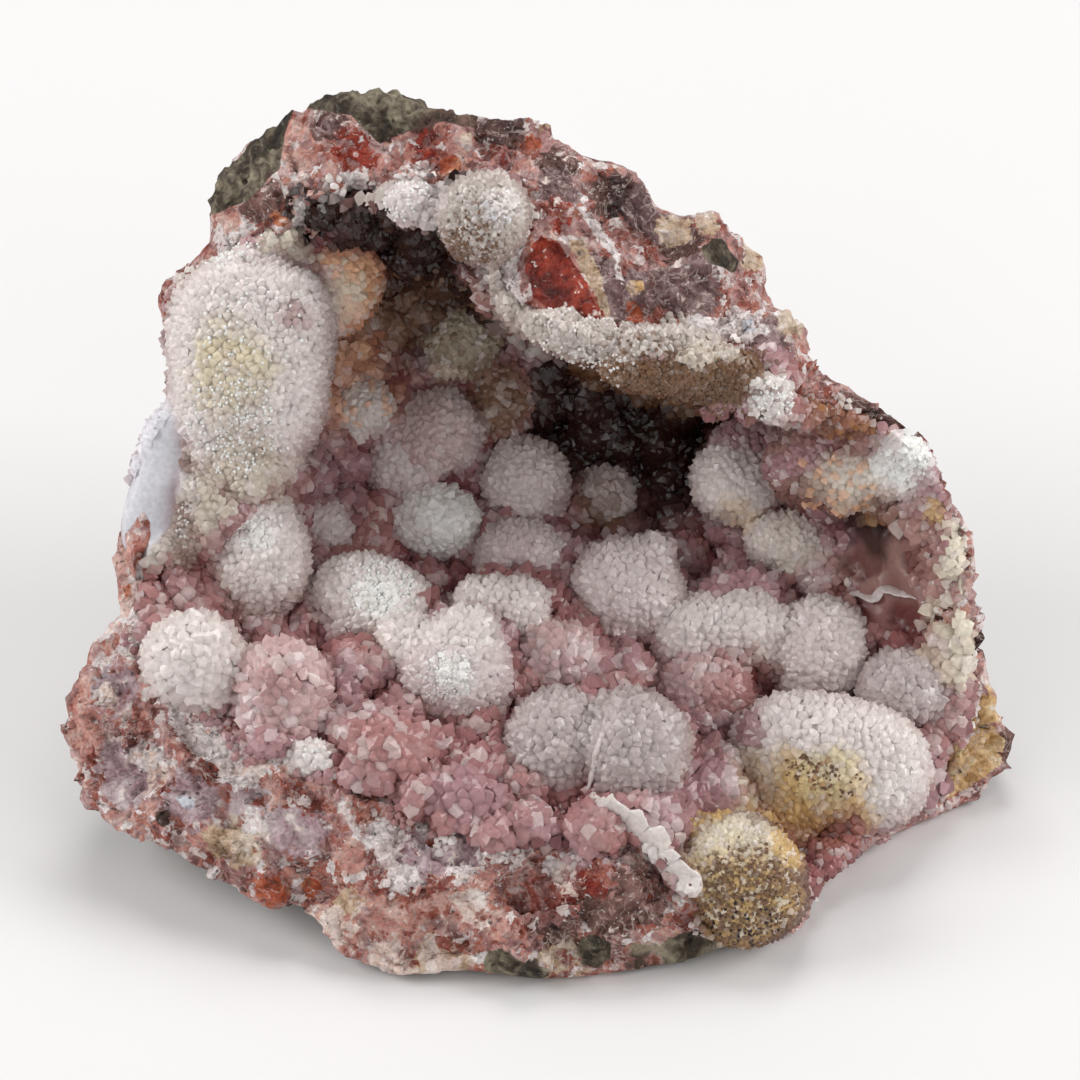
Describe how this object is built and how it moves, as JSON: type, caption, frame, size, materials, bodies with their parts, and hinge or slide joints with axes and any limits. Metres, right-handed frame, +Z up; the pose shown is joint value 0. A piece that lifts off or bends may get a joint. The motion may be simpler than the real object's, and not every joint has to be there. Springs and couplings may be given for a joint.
{
  "type": "chalcedony geode",
  "caption": "Broken geode: a rough rock shell of red jasper and agate round a hollow lined with drusy chalcedony knobs.",
  "frame": {"origin": "on the surface the stone rests on, under the middle of its bounding box", "axes": "+Z up; the mouth of the hollow faces -Y and tips up; +X to the right as one looks into the mouth"},
  "size_m": [0.1491, 0.1152, 0.0936],
  "materials": {
    "rock": "rough red-brown jasper and agate with a dark weathered skin",
    "chalcedony": "sugary white to lilac-pink drusy chalcedony"
  },
  "bodies": {
    "root": {"rock_shell": "rock", "crystal_crust": "chalcedony"}
  },
  "joints": []
}
